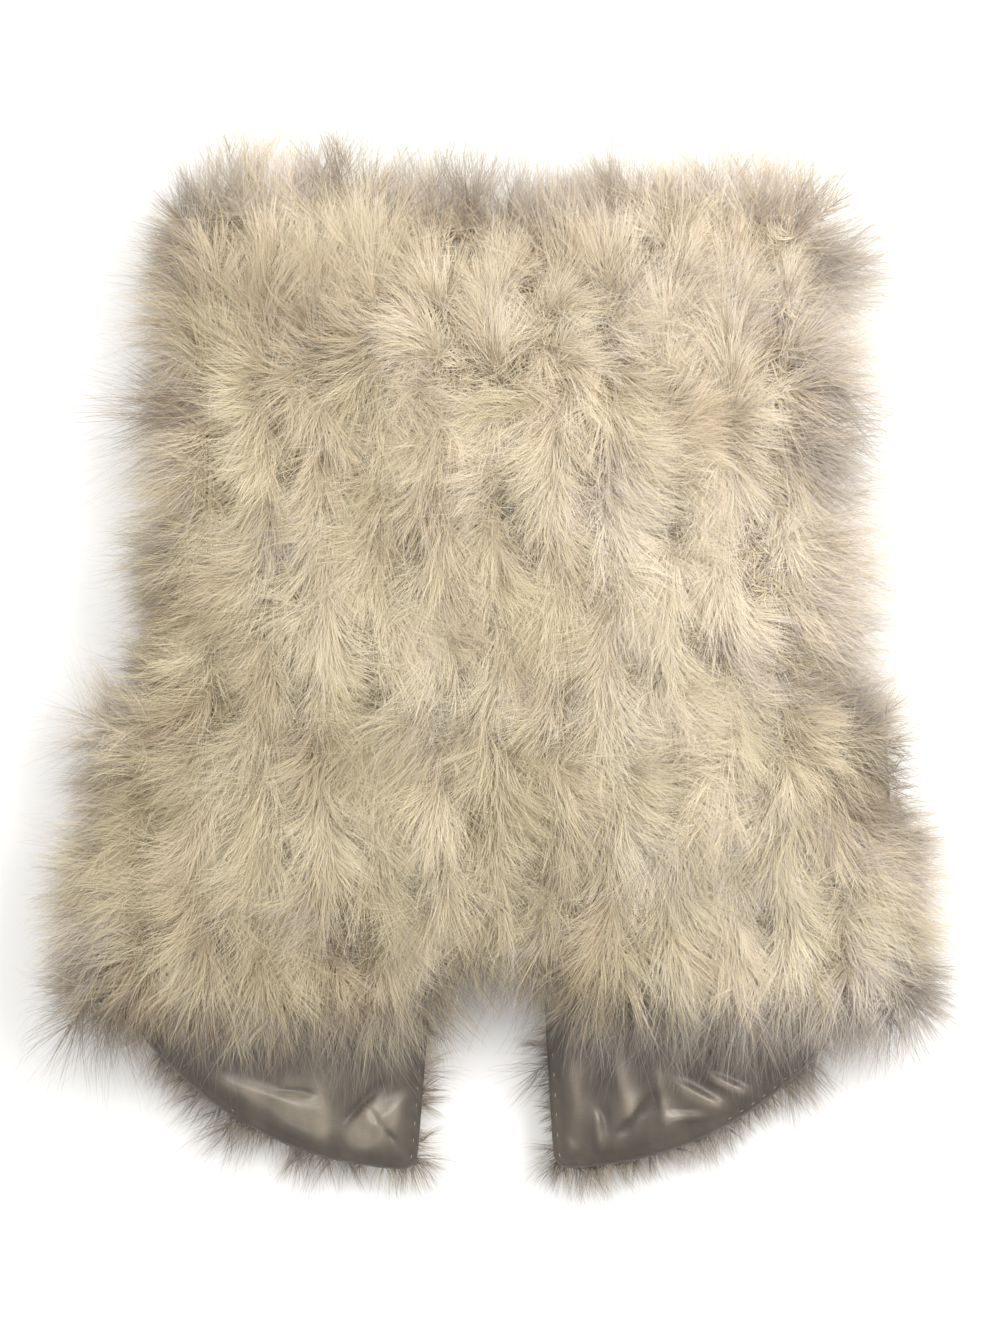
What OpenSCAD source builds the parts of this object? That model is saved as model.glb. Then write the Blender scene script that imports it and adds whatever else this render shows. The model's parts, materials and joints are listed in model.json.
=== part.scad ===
// Sleeveless feather vest, lying face down on a table with its back up.
// +X is to the wearer's right, +Y towards the neck, +Z up. The origin is on the table
// under the middle of the vest. Boa strips are sewn in rows along the length of every panel.

/* [Back panel] */
// Half width of the neckline at the shoulder seams
neck_half = 92; // [80:1:100]
// How far the back neckline dips at its middle
nape_drop = 16; // [8:1:24]
// Half width at the shoulder tips
shoulder_half = 200; // [190:1:206]
// How far the shoulder falls from neck to tip
shoulder_fall = 14; // [8:1:20]
// Half width at the underarm
chest_half = 245; // [238:1:250]
// Half width at the hem
hem_half = 257; // [252:1:262]
// Length from the neck to the underarm
armhole_depth = 330; // [300:1:340]
// Length of the back from the neck to the hem
back_length = 505; // [480:1:520]
// Rise of the hem at the middle of the back
arch_rise = 40; // [20:1:50]
// Half width of that arch in the hem
arch_half = 75; // [60:1:90]

/* [Front panels] */
// Length of a front from the neck to its lowest corner
front_length = 609; // [590:1:620]
// Length from the neck to the bottom of the front neckline
neckline_depth = 140; // [120:1:170]
// Width of a front at the hem
front_width = 214; // [205:1:216]
// How far the left front lies open, in degrees
left_open = 4.6; // [3:0.1:5]
// How far the right front lies open, in degrees
right_open = 3.4; // [3:0.1:5]

/* [Feather rows] */
// Distance between neighbouring rows
row_pitch = 36; // [34:1:38]
// Height of a fluffed row on the back
back_fluff = 42; // [36:1:50]
// Height of a pressed row under a front
front_fluff = 18.8; // [14:0.2:24]
// Width of the row along each side edge of the back
side_row_width = 44; // [40:1:44]
// How far the feathers stand past the shoulder line
top_overhang = 28; // [20:1:36]
// How far the feathers hang past the back's hem
back_overhang = 32; // [8:1:40]
// How far the feathers stand past a front's hem
front_overhang = 10; // [8:1:20]

/* [Cloth] */
// Thickness of the base cloth
shell_t = 1.2; // [0.8:0.1:2]
// Thickness of the stay tape between base cloth and lining
tape_t = 1.0; // [0.6:0.1:1.6]
// Thickness of the satin lining
lining_t = 0.8; // [0.5:0.1:1.2]
// Width of the stay tape
tape_w = 10; // [6:1:14]
// Free height between the linings, where the wearer goes
body_gap = 8.5; // [7:0.5:12]

/* [Closure] */
// Distance of each hook below the neck
hook_drops = [170, 290]; // [150:10:400]
// Thickness of the hook wire
wire_d = 1.2; // [1:0.1:1.6]

/* [Hidden] */
cord_d = 3;
clearance = 0.1;
round_fn = 48;
curve_steps = 14;
closed_gap = 1.5;
corner_r = 13;
rows_each_side = 7;
front_rows = 6;

pivot_x = neck_half + 3;
pivot_drop = 4;
lowest = pivot_drop + (pivot_x - closed_gap - 0.3) * sin(left_open)
    + (front_length - pivot_drop + front_overhang) * cos(left_open);
highest = top_overhang - shoulder_fall * (3 * row_pitch - neck_half) / (shoulder_half - neck_half);
neck_y = (lowest - highest) / 2;
nape_y = neck_y - nape_drop;
tip_y = neck_y - shoulder_fall;
underarm_y = neck_y - armhole_depth;
hem_y = neck_y - back_length;
front_y = neck_y - front_length;
front_side_y = hem_y + 2;
pivot = [pivot_x, neck_y - pivot_drop];

front_cord_z = front_fluff + clearance;
front_shell_z = front_cord_z + cord_d + clearance;
front_tape_z = front_shell_z + shell_t;
front_lining_z = front_tape_z + tape_t;
hook_z = front_lining_z + lining_t + clearance;
back_lining_z = front_lining_z + lining_t + body_gap;
back_tape_z = back_lining_z + lining_t;
back_shell_z = back_tape_z + tape_t;
back_cord_z = back_shell_z + shell_t + clearance;
back_row_z = back_cord_z + cord_d + clearance;

// Points of a quadratic curve from a to c that leans towards b.
function bend(a, b, c, n = curve_steps) =
    [for (i = [0:n]) let (t = i / n) (1 - t) * (1 - t) * a + 2 * t * (1 - t) * b + t * t * c];
// The same outline on the other side of the middle, without its points on the middle.
function mirrored(points) =
    [for (i = [len(points) - 1:-1:0]) if (abs(points[i][0]) > 0.001) [-points[i][0], points[i][1]]];
function hem_at(x) =
    hem_y + (abs(x) < arch_half ? arch_rise * (1 + cos(180 * x / arch_half)) / 2 : 0);
function top_at(x) =
    abs(x) < neck_half ? neck_y - nape_drop * (1 - pow(x / neck_half, 2))
    : abs(x) < shoulder_half ? neck_y - shoulder_fall * (abs(x) - neck_half) / (shoulder_half - neck_half)
    : abs(x) < chest_half - row_pitch / 2 ? underarm_y + row_pitch / 2
    : underarm_y - row_pitch / 4;

shoulder_tip = [shoulder_half, tip_y];
underarm = [chest_half, underarm_y];
armhole = bend(shoulder_tip, [shoulder_half - 22, underarm_y], underarm);
side_hem = [hem_half, hem_y];
back_half = concat(
    bend([0, nape_y], [neck_half * 0.7, nape_y], [neck_half, neck_y]),
    armhole,
    [side_hem],
    [for (i = [0:curve_steps]) let (x = arch_half * (1 - i / curve_steps)) [x, hem_at(x)]]
);
back_outline = concat(back_half, mirrored(back_half));

// A closed front, its edge straight down the middle of the vest.
// It opens by turning about the neck end of the shoulder.
corner_y = neck_y - neckline_depth;
front_hem_x = closed_gap + front_width;
// The hem of a front sweeps up from its low corner to the side seam.
function front_edge_at(x) =
    front_y + (front_side_y - front_y) * pow(max(0, x - corner_r) / (front_hem_x - corner_r), 2.3);
front_shoulder = [shoulder_half - 6, tip_y - 13];
front_underarm = [chest_half - 28, underarm_y + 4];
front_outline = concat(
    bend(front_shoulder, [shoulder_half - 34, front_underarm[1] + 2], front_underarm),
    [for (i = [0:curve_steps - 1])
        let (x = front_hem_x - i * (front_hem_x - corner_r) / curve_steps) [x, front_edge_at(x)]],
    bend([corner_r, front_y], [closed_gap, front_y], [closed_gap, front_y + corner_r], 6),
    bend([closed_gap, corner_y], [neck_half - 8, corner_y + 24], [neck_half + 3, neck_y - 8])
);
// Where a front row starts and ends, in the closed front.
function front_x(i) = closed_gap + row_pitch * (i + 0.5);
function front_row_top(i) =
    front_x(i) < neck_half - 20 ? corner_y + 12 + 1.1 * front_x(i)
    : front_x(i) < shoulder_half - row_pitch ? neck_y - 8
    : front_x(i) < shoulder_half - row_pitch / 2 ? underarm_y + 110 : underarm_y + 26;
function front_row_bottom(i) = front_edge_at(front_x(i)) - front_overhang;

// Flat cloth of a given outline.
module sheet_of(outline, z, t) {
    translate([0, 0, z]) linear_extrude(t) polygon(outline);
}

// A band just inside the edge of an outline.
module edge_band(outline, z) {
    translate([0, 0, z]) linear_extrude(tape_t) difference() {
        polygon(outline);
        offset(delta = -tape_w) polygon(outline);
    }
}

// Profile with two rounded upper corners, standing on y = 0.
module crowned(width, height, r) {
    square_w = width - 2 * r;
    translate([-width / 2, 0]) square([width, height - r]);
    if (square_w > 0.01)
        translate([-square_w / 2, 0]) square([square_w, height]);
    for (side = [-1, 1])
        translate([side * square_w / 2, height - r]) circle(r, $fn = round_fn);
}

// One row of plumes as a soft loaf: rounded across and at both ends.
module plume_loaf(x, y0, y1, width, height, r_across, r_end) {
    translate([x, (y0 + y1) / 2, 0]) intersection() {
        translate([0, (y1 - y0) / 2, 0]) rotate([90, 0, 0])
            linear_extrude(y1 - y0) crowned(width, height, r_across);
        translate([-width / 2, 0, 0]) rotate([90, 0, 90])
            linear_extrude(width) crowned(y1 - y0, height, r_end);
    }
}

// The twisted cord that the plumes of one row are bound into.
module cord(x, y0, y1, z) {
    translate([x, y1, z + cord_d / 2]) rotate([90, 0, 0])
        cylinder(h = y1 - y0, d = cord_d, $fn = round_fn);
}

function back_row_x(k) = abs(k) == rows_each_side ? sign(k) * (row_pitch * k * sign(k) + 4) : row_pitch * k;

module back_feather_row(k) {
    x = back_row_x(k);
    on_side = abs(k) == rows_each_side;
    width = on_side ? side_row_width : row_pitch - 0.6;
    color([0.80, 0.74, 0.62]) translate([0, 0, back_row_z])
        plume_loaf(x, hem_at(x) - back_overhang, top_at(x) + (on_side ? 4 : top_overhang),
            width, back_fluff, width / 2, 20);
}

module back_row_cords() {
    color([0.86, 0.82, 0.72])
        for (k = [-rows_each_side:rows_each_side])
            let (x = min(abs(row_pitch * k), chest_half - 4) * sign(k))
                cord(x, hem_at(x) + 8, top_at(x) - 8, back_cord_z);
}

module back_shell() {
    color([0.72, 0.67, 0.57]) sheet_of(back_outline, back_shell_z, shell_t);
}

module back_lining() {
    color([0.55, 0.49, 0.43]) sheet_of(back_outline, back_lining_z, lining_t);
}

module back_edge_tape() {
    color([0.90, 0.88, 0.82]) edge_band(back_outline, back_tape_z);
}

// A seam stands on edge between the front and the back, along a line from a to b, outside that line.
module seam_wall(a, b, side) {
    out = [abs(b[1] - a[1]), abs(b[0] - a[0])] / norm(b - a) * shell_t;
    z0 = front_shell_z;
    color([0.72, 0.67, 0.57]) scale([side, 1, 1]) translate([0, 0, z0])
        linear_extrude(back_shell_z + shell_t - z0) polygon([a, b, b + out, a + out]);
}

module side_seam(side) { seam_wall(underarm, side_hem, side); }
module shoulder_seam(side) { seam_wall([neck_half, neck_y], shoulder_tip, side); }

// Opens a closed right front, or its mirror image for the left, to where it lies.
module lay_open(side) {
    angle = side > 0 ? right_open : left_open;
    scale([side, 1, 1]) translate(pivot) rotate(angle) translate(-pivot) children();
}

module front_shell(side) {
    color([0.72, 0.67, 0.57]) lay_open(side) sheet_of(front_outline, front_shell_z, shell_t);
}

module front_lining(side) {
    color([0.55, 0.49, 0.43]) lay_open(side) sheet_of(front_outline, front_lining_z, lining_t);
}

module front_edge_tape(side) {
    color([0.90, 0.88, 0.82]) lay_open(side) edge_band(front_outline, front_tape_z);
}

module front_feather_row(side, i) {
    color([0.78, 0.72, 0.61]) lay_open(side)
        plume_loaf(front_x(i), front_row_bottom(i), front_row_top(i), row_pitch - 0.6, front_fluff, 7, 12);
}

module front_row_cords(side) {
    color([0.86, 0.82, 0.72]) lay_open(side)
        for (i = [0:front_rows - 1])
            cord(front_x(i), front_row_bottom(i) + front_overhang + 12, front_row_top(i) - 10, front_cord_z);
}

// A ring of wire lying flat, sewn to the lining through its middle.
module wire_ring(r) {
    rotate_extrude($fn = round_fn) translate([r, 0]) circle(d = wire_d, $fn = 24);
}

module wire_bar(length) {
    rotate([0, 90, 0]) cylinder(h = length, d = wire_d, $fn = 24);
}

// Two sewing rings, a shank over the front edge and a nose that curls back above it.
module hook() {
    ring_r = 2.4;
    nose_r = 1.5;
    reach = 8;
    for (y = [-ring_r + 0.4, ring_r - 0.4])
        translate([6, y, wire_d / 2]) wire_ring(ring_r - wire_d / 2);
    translate([4.3, 0, wire_d / 2]) cylinder(h = 2 * wire_d, d = wire_d, $fn = 24);
    translate([-reach + nose_r, 0, 2 * wire_d]) wire_bar(reach + 4.3 - nose_r);
    translate([-reach + nose_r, 0, 2 * wire_d + nose_r]) rotate([90, -90, 0])
        rotate_extrude(angle = 180, $fn = round_fn) translate([nose_r, 0]) circle(d = wire_d, $fn = 24);
    translate([-reach + nose_r, 0, 2 * wire_d + 2 * nose_r]) wire_bar(3);
}

// Two sewing rings joined by a bow that stands just past the front edge.
module eye() {
    ring_r = 2.4;
    bow_r = 3.4;
    for (y = [-ring_r - bow_r, ring_r + bow_r])
        translate([6, y, wire_d / 2]) wire_ring(ring_r - wire_d / 2);
    translate([3.2, 0, wire_d / 2]) rotate(90)
        rotate_extrude(angle = 180, $fn = round_fn) translate([bow_r, 0]) circle(d = wire_d, $fn = 24);
    for (y = [-bow_r, bow_r])
        translate([3.2, y, wire_d / 2]) wire_bar(2.4);
}

module front_left_hooks() {
    color([0.75, 0.74, 0.70]) lay_open(-1)
        for (drop = hook_drops) translate([closed_gap, neck_y - drop, hook_z]) hook();
}

module front_right_eyes() {
    color([0.75, 0.74, 0.70]) lay_open(1)
        for (drop = hook_drops) translate([closed_gap, neck_y - drop, hook_z]) eye();
}

back_shell();
back_lining();
back_edge_tape();
back_row_cords();
side_seam(-1);  // side_seam_left
side_seam(1);  // side_seam_right
shoulder_seam(-1);  // shoulder_seam_left
shoulder_seam(1);  // shoulder_seam_right
for (k = [-rows_each_side:rows_each_side])
    back_feather_row(k);
for (side = [-1, 1]) {
    name = side < 0 ? "front_left" : "front_right";
    front_shell(side);
    front_lining(side);
    front_edge_tape(side);
    front_row_cords(side);
    for (i = [0:front_rows - 1])
        front_feather_row(side, i);
}
front_left_hooks();
front_right_eyes();
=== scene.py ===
"""The looks of a sleeveless feather vest that lies face down on a pale table.

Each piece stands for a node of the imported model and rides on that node's body. Lengths are in metres.
The boa strips are grown as plumes: a short curved quill with barbs on both sides, each a thin ribbon.
"""

import json
import math
from functools import partial

import bpy
import numpy as np
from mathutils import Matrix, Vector
from mathutils.geometry import delaunay_2d_cdt


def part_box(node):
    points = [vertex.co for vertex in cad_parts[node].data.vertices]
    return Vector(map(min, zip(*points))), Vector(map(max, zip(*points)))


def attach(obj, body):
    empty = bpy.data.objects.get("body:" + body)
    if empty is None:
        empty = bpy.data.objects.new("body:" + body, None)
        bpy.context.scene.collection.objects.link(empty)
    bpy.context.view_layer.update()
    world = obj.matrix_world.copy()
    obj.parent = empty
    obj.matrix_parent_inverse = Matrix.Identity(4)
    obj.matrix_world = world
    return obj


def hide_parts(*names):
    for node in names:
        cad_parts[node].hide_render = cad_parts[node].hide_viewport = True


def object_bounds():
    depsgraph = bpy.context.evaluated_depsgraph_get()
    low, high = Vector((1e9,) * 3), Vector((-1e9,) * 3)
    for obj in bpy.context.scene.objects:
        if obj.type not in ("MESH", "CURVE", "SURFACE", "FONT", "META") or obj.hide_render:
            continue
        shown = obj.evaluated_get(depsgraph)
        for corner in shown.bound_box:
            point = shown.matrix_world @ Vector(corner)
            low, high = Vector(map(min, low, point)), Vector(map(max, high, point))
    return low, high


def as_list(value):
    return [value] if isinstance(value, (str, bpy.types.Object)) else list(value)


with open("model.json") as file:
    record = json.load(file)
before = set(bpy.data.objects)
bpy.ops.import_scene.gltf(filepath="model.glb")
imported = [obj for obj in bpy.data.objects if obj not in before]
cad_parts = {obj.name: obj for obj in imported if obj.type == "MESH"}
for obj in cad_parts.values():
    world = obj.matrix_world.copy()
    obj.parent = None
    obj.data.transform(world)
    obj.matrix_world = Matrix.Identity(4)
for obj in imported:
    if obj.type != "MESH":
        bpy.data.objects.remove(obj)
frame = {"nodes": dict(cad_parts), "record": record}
CAD_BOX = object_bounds()

MM = 0.001
SIDES = ("left", "right")
ROW_COUNTS = {"back": 15, "front_left": 6, "front_right": 6}
UP = np.array([0.0, 0.0, 1.0])


# -------- camera, table and light


def look_straight_down():
    """A camera above the vest, with the neck at the top of the picture."""
    middle = (0.003, 0.0065)
    height = 1.30
    rim_height = 0.05
    seen_length = 0.834
    data = bpy.data.cameras.new("camera")
    data.sensor_fit = "VERTICAL"
    data.sensor_height = 36
    data.lens = data.sensor_height * (height - rim_height) / seen_length
    camera = bpy.data.objects.new("camera", data)
    camera.location = (*middle, height)
    bpy.context.collection.objects.link(camera)
    bpy.context.scene.camera = camera


def area_light(name, place, size, power, colour):
    """A square lamp that shines on the middle of the vest."""
    data = bpy.data.lights.new(name, "AREA")
    data.size = size
    data.energy = power
    data.color = colour
    light = bpy.data.objects.new(name, data)
    light.location = place
    light.rotation_euler = Vector(place).to_track_quat("Z", "Y").to_euler()
    bpy.context.collection.objects.link(light)


def light_room():
    """Even light from all round, a warm window on the right and a ceiling lamp past the neck."""
    world = bpy.data.worlds.new("room")
    world.use_nodes = True
    background = world.node_tree.nodes["Background"]
    background.inputs["Color"].default_value = (1.0, 0.985, 0.96, 1)
    background.inputs["Strength"].default_value = 0.72
    bpy.context.scene.world = world
    area_light("window", (0.80, 0.45, 0.90), 0.7, 14, (1.0, 0.97, 0.935))
    area_light("ceiling", (-0.25, 0.70, 1.40), 0.8, 11, (1.0, 0.99, 0.97))
    bpy.context.scene.view_settings.view_transform = "Standard"


def lay_table():
    bpy.ops.mesh.primitive_plane_add(size=8)
    table = bpy.context.object
    table.name = "table"
    look = Look("table_paint", roughness=0.9)
    look.base(look.mix(look.noise(9.0, 2), (0.93, 0.93, 0.93), (0.955, 0.955, 0.955)))
    table.data.materials.append(look.material)


# -------- materials


class Look:
    """A node-based material, built up from a few kinds of pattern."""

    def __init__(self, name, roughness=0.6, **values):
        self.material = bpy.data.materials.new(name)
        self.material.use_nodes = True
        self.tree = self.material.node_tree
        self.shader = self.tree.nodes["Principled BSDF"]
        self.shader.inputs["Roughness"].default_value = roughness
        for socket, value in values.items():
            self.shader.inputs[socket.replace("_", " ")].default_value = value

    def node(self, kind, **settings):
        made = self.tree.nodes.new("ShaderNode" + kind)
        for key, value in settings.items():
            setattr(made, key, value)
        return made

    def feed(self, socket, value):
        """Links an output to a socket, or sets the socket to a number or a colour."""
        if isinstance(value, bpy.types.NodeSocket):
            self.tree.links.new(value, socket)
        elif isinstance(value, tuple) and len(socket.default_value) == 4:
            socket.default_value = (*value, 1)
        else:
            socket.default_value = value

    def place(self, stretch=(1, 1, 1), source="Object"):
        """The coordinates of a point, stretched along each axis."""
        mapping = self.node("Mapping")
        self.feed(mapping.inputs["Vector"], self.node("TexCoord").outputs[source])
        mapping.inputs["Scale"].default_value = stretch
        return mapping.outputs["Vector"]

    def noise(self, scale, detail=3, stretch=(1, 1, 1), source="Object"):
        made = self.node("TexNoise")
        self.feed(made.inputs["Vector"], self.place(stretch, source))
        made.inputs["Scale"].default_value = scale
        made.inputs["Detail"].default_value = detail
        return made.outputs["Fac"]

    def waves(self, pitch, direction):
        """Smooth bands, pitch apart. A wave texture of scale 1 turns through 20 radians in each metre."""
        made = self.node("TexWave", bands_direction=direction)
        self.feed(made.inputs["Vector"], self.place())
        made.inputs["Scale"].default_value = 2 * math.pi / (20 * pitch)
        return made.outputs["Fac"]

    def math(self, operation, a, b):
        made = self.node("Math", operation=operation)
        self.feed(made.inputs[0], a)
        self.feed(made.inputs[1], b)
        return made.outputs[0]

    def blend(self, a, b, share):
        """Two numbers mixed, with share of b."""
        return self.math("ADD", self.math("MULTIPLY", a, 1 - share), self.math("MULTIPLY", b, share))

    def spread(self, value, low, high, out_low, out_high):
        """A number between low and high, brought between out_low and out_high."""
        made = self.node("MapRange")
        numbers = {"Value": value, "From Min": low, "From Max": high, "To Min": out_low, "To Max": out_high}
        for socket, number in numbers.items():
            self.feed(made.inputs[socket], number)
        return made.outputs["Result"]

    def mix(self, share, a, b, kind="MIX"):
        made = self.node("Mix", data_type="RGBA", blend_type=kind)
        factor, first, second = made.inputs[0], made.inputs[6], made.inputs[7]
        self.feed(factor, share)
        self.feed(first, a)
        self.feed(second, b)
        return made.outputs[2]

    def ramp(self, value, stops):
        made = self.node("ValToRGB")
        self.feed(made.inputs["Fac"], value)
        marks = made.color_ramp.elements
        while len(marks) < len(stops):
            marks.new(0.5)
        for mark, (place, colour) in zip(marks, stops):
            mark.position = place
            mark.color = (*colour, 1)
        return made.outputs["Color"]

    def base(self, colour):
        self.feed(self.shader.inputs["Base Color"], colour)
        return self

    def rough(self, value):
        self.feed(self.shader.inputs["Roughness"], value)
        return self

    def bump(self, height, distance, strength=0.6):
        made = self.node("Bump")
        self.feed(made.inputs["Height"], height)
        made.inputs["Distance"].default_value = distance
        made.inputs["Strength"].default_value = strength
        self.feed(self.shader.inputs["Normal"], made.outputs["Normal"])
        return self


DOWN_TINTS = {
    "blush": [(0.36, 0.27, 0.18), (0.74, 0.62, 0.46), (0.93, 0.84, 0.70)],
    "cream": [(0.33, 0.265, 0.155), (0.73, 0.65, 0.455), (0.92, 0.86, 0.68)],
    "ash": [(0.22, 0.19, 0.165), (0.59, 0.535, 0.48), (0.87, 0.82, 0.76)],
}
BANDS = len(DOWN_TINTS)


def down_look():
    """Marabou down. Up the map a barb runs from a dark root to a pale tip, the dark root being painted shade
    among the barbs. Across it lie three bands of tint, each from dark to light."""
    look = Look("marabou_down", Specular_IOR_Level=0.2, Sheen_Weight=0.25, Sheen_Roughness=0.5)
    uv = look.node("SeparateXYZ")
    look.feed(uv.inputs[0], look.place(source="UV"))
    stops = []
    for band, shades in enumerate(DOWN_TINTS.values()):
        stops += [((band + share) / BANDS, shade) for share, shade in zip((0.01, 0.5, 0.99), shades)]
    tint = look.ramp(uv.outputs["X"], stops)
    # along darkens each barb towards its root: painted shade where the barbs crowd together.
    along = look.ramp(uv.outputs["Y"], [
        (0.0, (0.60, 0.56, 0.50)), (0.35, (0.92, 0.905, 0.88)), (1.0, (1.0, 1.0, 1.0))])
    streaks = look.spread(look.noise(6.0, 2, (60, 3, 1), "UV"), 0.3, 0.7, 0.94, 1.03)
    shaded = look.mix(1.0, tint, along, "MULTIPLY")
    return look.base(look.mix(1.0, shaded, streaks, "MULTIPLY")).material


def weave_look(name, dark, light, pitch):
    """Plain woven cloth: two crossed sets of threads, pitch apart, over a slow change of tone."""
    look = Look(name, roughness=0.75, Specular_IOR_Level=0.2, Sheen_Weight=0.2)
    cloth = look.math("MULTIPLY", look.waves(pitch, "X"), look.waves(pitch, "Y"))
    tone = look.blend(cloth, look.noise(14.0, 4), 0.6)
    look.base(look.ramp(tone, [(0.15, dark), (0.75, light)]))
    return look.rough(look.spread(tone, 0.0, 1.0, 0.85, 0.65)).bump(cloth, 0.2 * MM).material


def satin_look(valley, crest):
    """Taupe satin with fine floats, over broad bands of painted sheen. Its folds carry painted shade, dark
    at the height valley, and a painted highlight, pale at the height crest.
    """
    look = Look("taupe_satin", roughness=0.4, Specular_IOR_Level=0.9,
                Sheen_Weight=0.15, Sheen_Roughness=0.35)
    floats = look.noise(260.0, 3, (1, 9, 1))
    # Broad stretched bands of painted sheen.
    sheen_bands = look.spread(look.noise(30.0, 2, (1.8, 0.6, 1)), 0.36, 0.64, 0.0, 1.0)
    place = look.node("SeparateXYZ")
    look.feed(place.inputs[0], look.place())
    # fold paints the satin darker low in its folds and paler towards their crests: painted shade and painted
    # highlight.
    fold = look.spread(place.outputs["Z"], valley, crest, 0.0, 1.0)
    tone = look.blend(look.blend(floats, sheen_bands, 0.5), fold, 0.6)
    look.base(look.ramp(tone, [
        (0.12, (0.046, 0.036, 0.025)), (0.5, (0.105, 0.085, 0.061)), (0.95, (0.27, 0.23, 0.176))]))
    return look.rough(look.spread(floats, 0.2, 0.8, 0.34, 0.5)).bump(floats, 0.15 * MM, 0.3).material


def cord_look(name, dark, light):
    """Spun thread, mottled along its plies."""
    look = Look(name, roughness=0.8, Sheen_Weight=0.2)
    plies = look.noise(320.0, 3, (1, 0.3, 1))
    look.base(look.ramp(plies, [(0.3, dark), (0.7, light)]))
    return look.rough(look.spread(plies, 0.2, 0.8, 0.7, 0.9)).bump(plies, 0.3 * MM).material


def wire_look():
    """Plated wire, worn in small spots."""
    look = Look("plated_wire", roughness=0.3, Metallic=1.0)
    wear = look.noise(220.0, 4)
    look.base(look.ramp(wear, [(0.35, (0.42, 0.39, 0.34)), (0.65, (0.72, 0.69, 0.62))]))
    return look.rough(look.spread(wear, 0.3, 0.7, 0.22, 0.45)).bump(wear, 0.05 * MM).material


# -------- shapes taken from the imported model


def smoothstep(low, high, value):
    t = np.clip((value - low) / (high - low), 0, 1)
    return t * t * (3 - 2 * t)


def unit(vectors):
    return vectors / np.maximum(np.linalg.norm(vectors, axis=-1, keepdims=True), 1e-12)


def dice(name):
    """A random generator that gives the same numbers for the same name in each run."""
    return np.random.default_rng([ord(letter) for letter in name])


def soft_noise(xy, size, name, waves=7):
    """Smooth noise of about -1 to 1 whose lumps are about size across."""
    rng = dice(name)
    angle = rng.uniform(0, 2 * math.pi, waves)
    pace = 2 * math.pi / (size * rng.uniform(1.3, 2.9, waves))
    shift = rng.uniform(0, 2 * math.pi, waves)
    phase = (xy[..., :1] * np.cos(angle) + xy[..., 1:2] * np.sin(angle)) * pace + shift
    return np.sin(phase).sum(axis=-1) / math.sqrt(waves)


def node_triangles(name):
    """The corners of each triangle of a CAD node."""
    mesh = frame["nodes"][name].data
    mesh.calc_loop_triangles()
    points = np.empty(len(mesh.vertices) * 3)
    mesh.vertices.foreach_get("co", points)
    corners = np.empty(len(mesh.loop_triangles) * 3, int)
    mesh.loop_triangles.foreach_get("vertices", corners)
    return points.reshape(-1, 3)[corners].reshape(-1, 3, 3)


def heights(name):
    """The lowest and highest z of a CAD node."""
    low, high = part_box(name)
    return low[2], high[2]


def outline(name):
    """The border of a flat CAD sheet, as one closed loop of points."""
    grid = 0.01 * MM
    triangles = node_triangles(name)
    lid = triangles[(triangles[:, :, 2] > triangles[:, :, 2].max() - grid).all(axis=1), :, :2]
    sides = set()
    for corners in np.round(lid / grid).astype(int):
        ends = [tuple(corner) for corner in corners]
        sides.update((ends[i], ends[(i + 1) % 3]) for i in range(3))
    after = {a: b for a, b in sides if (b, a) not in sides}
    start = here = min(after)
    loop = [here]
    while after[here] != start:
        here = after[here]
        loop.append(here)
    return np.array(loop) * grid


def resampled(loop, spacing):
    """Points along a closed loop, about spacing apart, with its corners kept."""
    points = []
    for a, b in zip(loop, np.roll(loop, -1, axis=0)):
        count = max(1, round(np.linalg.norm(b - a) / spacing))
        points += [a + (b - a) * i / count for i in range(count)]
    return np.array(points)


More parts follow.
